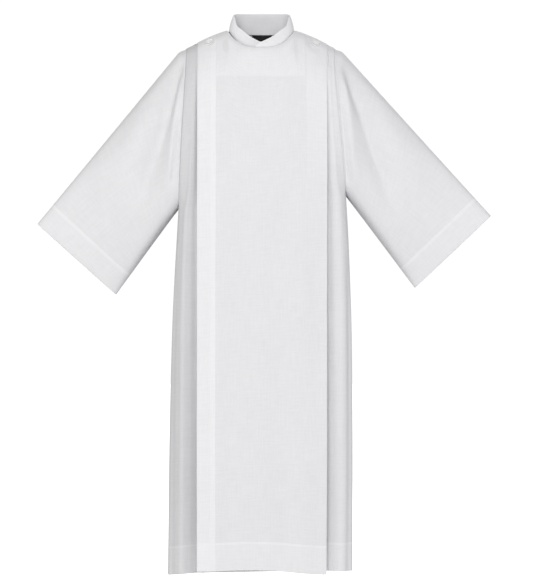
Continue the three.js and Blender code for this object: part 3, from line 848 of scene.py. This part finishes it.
def seat(node):
    """Where a button lies, and how it is turned: its axis square to the cloth under it."""
    spot = BUTTON_SPOTS[BUTTON_NODES.index(node)]

    def cloth_at(across, up):
        return body_point("front", spot.x + across * SEAT["near"], 0.0, spot.z + up * SEAT["near"])

    out = (cloth_at(1, 0) - cloth_at(-1, 0)).cross(cloth_at(0, 1) - cloth_at(0, -1)).normalized()
    if out.y > 0:
        out.negate()
    turn = out.to_track_quat("Z", "Y").to_matrix().to_4x4()
    return Matrix.Translation(cloth_at(0, 0) + out * SEAT["off"]) @ turn


def turned_button(node):
    form = bmesh.new()
    corners = [form.verts.new((r, 0, h)) for r, h in SECTION]
    edges = [form.edges.new(pair) for pair in zip(corners, corners[1:])]
    bmesh.ops.spin(form, geom=corners + edges, cent=(0, 0, 0), axis=(0, 0, 1), angle=math.tau, steps=40)
    bmesh.ops.remove_doubles(form, verts=form.verts, dist=1e-6)
    bmesh.ops.recalc_face_normals(form, faces=form.faces)
    bmesh.ops.transform(form, matrix=seat(node), verts=form.verts)
    return joined(node + "_disc", form)


def button_thread(node):
    """Two pairs of short thread loops that lie side by side over the middle."""
    form = bmesh.new()
    for aside in (-1, 1):
        for lie in (-0.5, 0.5):
            made = bmesh.ops.create_uvsphere(form, u_segments=8, v_segments=6, radius=1.0)
            size = Matrix.Diagonal((*BUTTON_THREAD["half"], 1))
            across = aside * BUTTON_THREAD["aside"] + lie * BUTTON_THREAD["apart"]
            place = Matrix.Translation((0, across, BUTTON_THREAD["height"]))
            bmesh.ops.transform(form, matrix=seat(node) @ place @ size, verts=made["verts"])
    return joined(node + "_thread", form)


buttons = {node: turned_button(node) for node in BUTTON_NODES}
threads = {node: button_thread(node) for node in BUTTON_NODES}
for node, spot in zip(BUTTON_NODES, BUTTON_SPOTS):
    print(node, "is sewn on at", [round(x, 3) for x in spot])

# %% [markdown]
# ## Stitching
# Rows of machine stitches hold the hems, the band and the collar's edges. A dashed line in the material could
# stand for them, but would vanish at a low angle. So each stitch is a tiny bead drawn out along the row and half
# sunk in the cloth, and the rows catch the light as broken bright lines.

# %% Lay rows of stitches on the cloth
STITCH = dict(length=0.0034, gap=0.0014, width=0.0009, from_edge=0.003, from_cuff_edge=0.004)


def stitch_row(form, path, outward):
    """Adds a row of stitches along a line of points, with outward(point) the way the cloth faces."""
    steps = [(b - a).length for a, b in zip(path, path[1:])]
    total, walked, k = sum(steps), 0.0, 0
    pitch = STITCH["length"] + STITCH["gap"]
    size = Matrix.Diagonal((STITCH["length"] / 2, STITCH["width"] / 2, STITCH["width"] / 2, 1))
    for n in range(int(total / pitch)):
        goal = (n + 0.5) * pitch
        while k < len(steps) - 1 and walked + steps[k] < goal:
            walked += steps[k]
            k += 1
        point = path[k].lerp(path[k + 1], (goal - walked) / steps[k])
        run = (path[k + 1] - path[k]).normalized()
        out = outward(point)
        across = out.cross(run).normalized()
        turn = Matrix((run, across, run.cross(across))).transposed().to_4x4()
        made = bmesh.ops.create_uvsphere(form, u_segments=6, v_segments=4, radius=1.0)
        bmesh.ops.transform(form, matrix=Matrix.Translation(point) @ turn @ size, verts=made["verts"])


def rows_on_body(name, face, folds, columns, row):
    """One row of stitches across a panel at a hem."""
    form = bmesh.new()
    place = place_on_body(face, folds)
    stitch_row(form, [place(line, row) for line in columns], facing)
    return joined(name, form)


HEM_STITCH = dict(part="hem", t=0.045, inside=0.0)
front_line = straight(FRONT_EDGE + 0.001, FRONT_FOLD - 0.001, 80)
stitches = [
    rows_on_body("front_hem_stitches", "front", FRONT_FOLDS, front_line, HEM_STITCH),
    rows_on_body("right_hem_stitches", "front", SIDE_FOLDS, round_side(-1, 1.0), HEM_STITCH),
    rows_on_body("left_hem_stitches", "front", SIDE_FOLDS, round_side(1, 1.0), HEM_STITCH),
    rows_on_body("back_hem_stitches", "back", BACK_FOLDS, back_columns, HEM_STITCH),
]


def band_stitches():
    form = bmesh.new()
    place = place_on_body("front", FRONT_FOLDS)
    line = column(FRONT_EDGE + BAND_WIDTH - STITCH["from_edge"])
    rows = [row for row in body_rows() if row["inside"] == 0.0 and row["part"] != "turn"]
    stitch_row(form, [place(line, row) for row in rows], facing)
    return joined("band_stitches", form)


def cuff_stitches(name):
    form = bmesh.new()
    place = sleeve_place(name)
    seam_row = dict(from_cuff=CUFF_HEM - STITCH["from_cuff_edge"], inside=0.0)
    ring = [place(line, seam_row) for line in sleeve_ring]
    centre = sum(ring, Vector()) / len(ring)
    stitch_row(form, ring + ring[:1], lambda point: (point - centre).normalized())
    return joined(f"{name}_cuff_stitches", form)


def collar_stitches():
    form = bmesh.new()
    for level in (0.13, 0.87):
        path = [collar_place(line, dict(t=level)) for line in collar_columns[3:-3]]
        stitch_row(form, path, lambda point: Vector((point.x, point.y - NECK["y"], 0)).normalized())
    return joined("collar_stitches", form)


stitches += [band_stitches(), cuff_stitches("right"), cuff_stitches("left"), collar_stitches()]
print(len(stitches), "rows of stitches,", sum(len(row.data.polygons) for row in stitches), "faces")

# %% [markdown]
# ## Finish
# A shader is a chain of small nodes, and its sums are hard to read as long calls. The class below wraps the
# output of a node, so that the sums of a finish can be written as a formula. Every other node is added by its
# one method, which sets the node's options first and then fills its sockets with values or with wires.

# %% A small class for shader maths
class Wire:
    """The output of a shader node."""

    def __init__(self, socket):
        self.socket = socket

    @classmethod
    def node(cls, tree, kind, settings=None, sockets=None, output=0):
        """Adds a node of a type and returns one of its outputs."""
        made = tree.nodes.new(kind)
        for name, value in (settings or {}).items():
            setattr(made, name, value)
        for name, value in (sockets or {}).items():
            if isinstance(value, Wire):
                value.to(made.inputs[name])
            else:
                made.inputs[name].default_value = value
        return cls(made.outputs[output])

    def to(self, socket):
        self.socket.id_data.links.new(self.socket, socket)

    def maths(self, operation, a, b):
        return Wire.node(self.socket.id_data, "ShaderNodeMath", dict(operation=operation), {0: a, 1: b})

    def __add__(self, other):
        return self.maths("ADD", self, other)

    def __sub__(self, other):
        return self.maths("SUBTRACT", self, other)

    def __rsub__(self, other):
        return self.maths("SUBTRACT", other, self)

    def __mul__(self, other):
        return self.maths("MULTIPLY", self, other)

    __radd__ = __add__
    __rmul__ = __mul__

    def clamped(self):
        return Wire.node(self.socket.id_data, "ShaderNodeClamp", sockets={0: self})


def new_material(name):
    """A material with its tree and its shader."""
    material = bpy.data.materials.new(name)
    material.use_nodes = True
    tree = material.node_tree
    return material, tree, tree.nodes["Principled BSDF"]


def flat_map(tree):
    """The cloth's own flat map, in metres."""
    return Wire.node(tree, "ShaderNodeUVMap", dict(uv_map="flat"))


def between(tree, share, dark, light):
    """The colour that lies a share of the way from dark to light."""
    settings = dict(data_type="RGBA", clamp_factor=True)
    return Wire.node(tree, "ShaderNodeMix", settings, {0: share, 6: dark, 7: light}, output=2)


# %% [markdown]
# ### The alb's cloth
# The cloth is a light plain weave with slubs: threads that are thicker for a few centimetres. Real threads
# could be modelled only a hand's breadth at a time, so the shader draws long thin streaks both ways on the flat
# map, tints the cloth with them and raises them as a bump. Where real cloth lies double it lets less light
# through and looks whiter; this material lets none through, so the number of layers paints the tone as well:
# painted show-through shade and light, greyer on one layer and whiter on two.

# %% The alb's cloth
CLOTH_TONES = dict(dark=(0.602, 0.600, 0.614, 1), light=(0.968, 0.962, 0.980, 1))
# the layers share of TONE weighs the painted show-through shade and light
TONE = dict(threads=0.36, clouds=0.08, layers=0.40, ground=0.36)
# painted show-through light over the facing and the pleat, and the height where the pleat's fades
SHOWS_THROUGH = dict(facing=0.26, pleat=0.26, pleat_fades=-0.45)
THREAD_BUMP = dict(strength=0.35, height=0.0006)


def streaks(tree, flat, long_way, fine, seed):
    """Slubs: noise drawn out along one thread direction, from 0 to 1."""
    place = dict(Vector=flat, Location=(seed, seed * 0.37, 0), Scale=(fine, long_way, 1))
    drawn_out = Wire.node(tree, "ShaderNodeMapping", sockets=place)
    pattern = dict(Vector=drawn_out, Scale=1.0, Detail=3.0, Roughness=0.62)
    return Wire.node(tree, "ShaderNodeTexNoise", dict(noise_dimensions="2D"), pattern)


def shown_through(tree):
    """Painted show-through light: how much whiter the front is painted over its facing and its pleat."""
    place = Wire.node(tree, "ShaderNodeTexCoord", output="Object")
    across = Wire.node(tree, "ShaderNodeSeparateXYZ", sockets={0: place}, output=0)
    height = Wire.node(tree, "ShaderNodeSeparateXYZ", sockets={0: place}, output=2)
    above = ((height - FACING_LEVEL) * 150).clamped()
    inside = ((across - FRONT_EDGE - BAND_WIDTH) * 400).clamped()
    inside = inside * ((FRONT_FOLD - PLEAT_DEPTH - across) * 300).clamped()
    over_pleat = ((across - FRONT_FOLD + PLEAT_DEPTH) * 200).clamped()
    fading = ((height - SHOWS_THROUGH["pleat_fades"]) * 3.3).clamped()
    return above * inside * SHOWS_THROUGH["facing"] + over_pleat * fading * SHOWS_THROUGH["pleat"]


def cloth_material(name, backed=False):
    """The alb's cloth. On a backed panel the front is painted whiter over the facing and the pleat behind it, as
    painted show-through light.
    """
    material, tree, shader = new_material(name)
    flat = flat_map(tree)
    layers = Wire.node(tree, "ShaderNodeAttribute", dict(attribute_name="layers"), output="Fac")
    if backed:
        layers = layers + shown_through(tree)
    warp = streaks(tree, flat, 20.0, 230.0, 1.7)
    weft = streaks(tree, flat, 230.0, 24.0, 5.3)
    cloudy = streaks(tree, flat, 7.0, 12.0, 8.1)
    threads = 0.5 * warp + 0.5 * weft
    tone = (threads - 0.5) * TONE["threads"] + (cloudy - 0.5) * TONE["clouds"]
    # painted shade and light: the layers number darkens or whitens the base colour
    tone = tone + layers * TONE["layers"] + TONE["ground"]
    between(tree, tone, CLOTH_TONES["dark"], CLOTH_TONES["light"]).to(shader.inputs["Base Color"])
    raised = dict(Strength=THREAD_BUMP["strength"], Distance=THREAD_BUMP["height"], Height=threads)
    Wire.node(tree, "ShaderNodeBump", sockets=raised).to(shader.inputs["Normal"])
    shader.inputs["Roughness"].default_value = 0.85
    shader.inputs["Specular IOR Level"].default_value = 0.25
    shader.inputs["Sheen Weight"].default_value = 0.12
    shader.inputs["Sheen Roughness"].default_value = 0.5
    return material


# %% [markdown]
# ### Ribbon, button and thread
# The ribbon is woven with fine ribs, so it gets the same streaks, much closer together. Buttons and thread are
# one colour and could do with a plain material, but a little cloudiness in the gloss keeps them from looking
# like computer plastic.

# %% Ribbon, button and thread
RIBBON_TONES = dict(dark=(0.006, 0.006, 0.007, 1), light=(0.030, 0.030, 0.032, 1))
GLOSS = dict(scale=700.0, change=0.14)


def ribbon_material():
    material, tree, shader = new_material("ribbon")
    ribs = streaks(tree, flat_map(tree), 60.0, 1400.0, 2.0)
    between(tree, ribs, RIBBON_TONES["dark"], RIBBON_TONES["light"]).to(shader.inputs["Base Color"])
    shader.inputs["Roughness"].default_value = 0.55
    return material


def plain_material(name, colour, roughness, coat=0.0):
    material, tree, shader = new_material(name)
    place = Wire.node(tree, "ShaderNodeTexCoord", output="Object")
    cloud = Wire.node(tree, "ShaderNodeTexNoise", sockets=dict(Vector=place, Scale=GLOSS["scale"], Detail=2.0))
    (cloud * GLOSS["change"] + (roughness - GLOSS["change"] / 2)).to(shader.inputs["Roughness"])
    shader.inputs["Base Color"].default_value = colour
    shader.inputs["Coat Weight"].default_value = coat
    return material


# %% Give each piece its finish
cloth = cloth_material("alb_cloth")
backed_cloth = cloth_material("alb_cloth_backed", backed=True)
ribbon_cloth = ribbon_material()
button_shell = plain_material("button", (0.88, 0.875, 0.86, 1), 0.25, 0.4)
thread = plain_material("thread", (0.93, 0.93, 0.925, 1), 0.6)

cloth_pieces = [under_front, back, *sleeves.values(), collar, facing_piece]
for piece in cloth_pieces:
    piece.data.materials.append(cloth)
over_front.data.materials.append(backed_cloth)
ribbon.data.materials.append(ribbon_cloth)
for piece in buttons.values():
    piece.data.materials.append(button_shell)
for piece in (*threads.values(), *stitches):
    piece.data.materials.append(thread)
finishes = (cloth, backed_cloth, ribbon_cloth, button_shell, thread)
print("finishes:", ", ".join(material.name for material in finishes))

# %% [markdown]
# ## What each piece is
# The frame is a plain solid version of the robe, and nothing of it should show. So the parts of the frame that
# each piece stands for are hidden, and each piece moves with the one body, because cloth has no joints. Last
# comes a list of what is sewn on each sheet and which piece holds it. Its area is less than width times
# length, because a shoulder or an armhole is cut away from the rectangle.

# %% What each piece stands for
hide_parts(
    *("over_front", "front_band", "over_front_hem", "front_pleat", "side_front", "side_front_hem"),
)
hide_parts("under_front", "under_front_hem")
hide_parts("back", "back_hem")
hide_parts("collar")
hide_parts("front_facing")
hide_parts("neck_label")
for name, piece in sleeves.items():
    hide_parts(f"sleeve_{name}", f"sleeve_{name}_hem")
for node, piece in buttons.items():
    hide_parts(node)
for piece in (over_front, *cloth_pieces, ribbon, *buttons.values(), *threads.values(), *stitches):
    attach(piece, "root")

# %% What is sewn on each piece of cloth, and which piece holds it
front_rows, right_row, left_row, back_row, band_row, right_cuff_row, left_cuff_row, collar_row = stitches
sewn_on = {
    over_front: [front_rows, left_row, band_row, *buttons.values(), *threads.values()],
    under_front: [right_row],
    back: [back_row],
    sleeves["right"]: [right_cuff_row],
    sleeves["left"]: [left_cuff_row],
    collar: [collar_row],
    facing_piece: [],
    ribbon: [],
}
for piece, trimmings in sewn_on.items():
    held_by = [] if piece in (back, collar) else ["over_front_cloth" if piece is facing_piece else "back_cloth"]
    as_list(trimmings)

# %% [markdown]
# ## Studio
# White cloth needs gentle light. Bright light from one side would show the folds more, but would burn out the
# front panel. So there is one wide soft source in front, a fill at each side, and a weaker one behind. The floor
# is a large pale sheet a little below the hem, because the robe hangs free.

# %% Floor
FLOOR = dict(level=HEM_LEVEL - 0.16, half=20)


def pale_floor():
    form = bmesh.new()
    lie = Matrix.Translation((0, 0, FLOOR["level"]))
    bmesh.ops.create_grid(form, x_segments=1, y_segments=1, size=FLOOR["half"], matrix=lie)
    floor = joined("floor", form, smooth_shading=False)
    material, tree, shader = new_material("pale_paper")
    shader.inputs["Base Color"].default_value = (0.95, 0.95, 0.95, 1)
    shader.inputs["Roughness"].default_value = 0.9
    shader.inputs["Emission Color"].default_value = (1, 1, 1, 1)
    shader.inputs["Emission Strength"].default_value = 0.9
    floor.data.materials.append(material)
    floor.visible_diffuse = False
    floor.visible_glossy = False
    print(f"the floor lies {HEM_LEVEL - FLOOR['level']:.2f} m below the hem")


pale_floor()


# %% Lights
def soft_light(name, place, size, power, colour=(1, 1, 1)):
    """A wide area light at a place, turned to the middle of the robe."""
    lamp = bpy.data.lights.new(name, "AREA")
    lamp.shape = "RECTANGLE"
    lamp.size, lamp.size_y = size
    lamp.energy = power
    lamp.color = colour
    holder = bpy.data.objects.new(name, lamp)
    aim = Vector((0, 0, HEM_LEVEL / 2)) - Vector(place)
    holder.matrix_world = Matrix.Translation(place) @ aim.to_track_quat("-Z", "Y").to_matrix().to_4x4()
    bpy.context.scene.collection.objects.link(holder)
    print(name, "shines with", power, "W")


soft_light("front_softbox", (-0.6, -8.6, 0.6), (5.0, 3.4), 394)
soft_light("fill_right", (4.2, -2.4, -0.4), (2.2, 3.2), 42, (0.95, 0.97, 1.0))
soft_light("fill_left", (-4.2, -2.2, -0.4), (2.2, 3.2), 36, (1.0, 0.98, 0.95))
soft_light("back_softbox", (0.8, 4.4, 2.0), (3.2, 2.4), 110)

# %% [markdown]
# ### Surroundings
# They are plain white. At the strength that suits the cloth a camera would show them as grey. A lit wall behind
# the robe could help, but it would block the view from behind. So they are brighter to the camera alone.

# %% Surroundings
GLOW = dict(on_cloth=0.37, more_for_camera=0.66)
world = bpy.data.worlds.new("studio")
world.use_nodes = True
background = world.node_tree.nodes["Background"]
background.inputs["Color"].default_value = (1, 1, 1, 1)
seen_by_camera = Wire.node(world.node_tree, "ShaderNodeLightPath", output="Is Camera Ray")
(seen_by_camera * GLOW["more_for_camera"] + GLOW["on_cloth"]).to(background.inputs["Strength"])
bpy.context.scene.world = world
bpy.context.scene.view_settings.view_transform = "Standard"
print("the white around the robe lights it at a strength of", GLOW["on_cloth"])

# %% [markdown]
# ### Camera
# A robe is shown square on, so that its two sides can be compared. A short lens close by would widen the sleeves
# and show the collar from below, so the camera has a long lens and stands level with the middle of the robe.

# %% Camera
DISTANCE = 7.5
VIEW_WIDTH = 1.4604
MIDDLE = Vector((0.015, 0, -0.718))
camera = bpy.data.cameras.new("camera")
camera.sensor_fit = "HORIZONTAL"
camera.sensor_width = 36
camera.lens = camera.sensor_width * DISTANCE / VIEW_WIDTH
camera.clip_end = 60
viewer = bpy.data.objects.new("camera", camera)
viewer.matrix_world = Matrix.Translation(MIDDLE - Vector((0, DISTANCE, 0))) @ Matrix.Rotation(math.pi / 2, 4, "X")
bpy.context.scene.collection.objects.link(viewer)
bpy.context.scene.camera = viewer
print(f"the camera's lens is {camera.lens:.0f} mm long, {DISTANCE} m away")
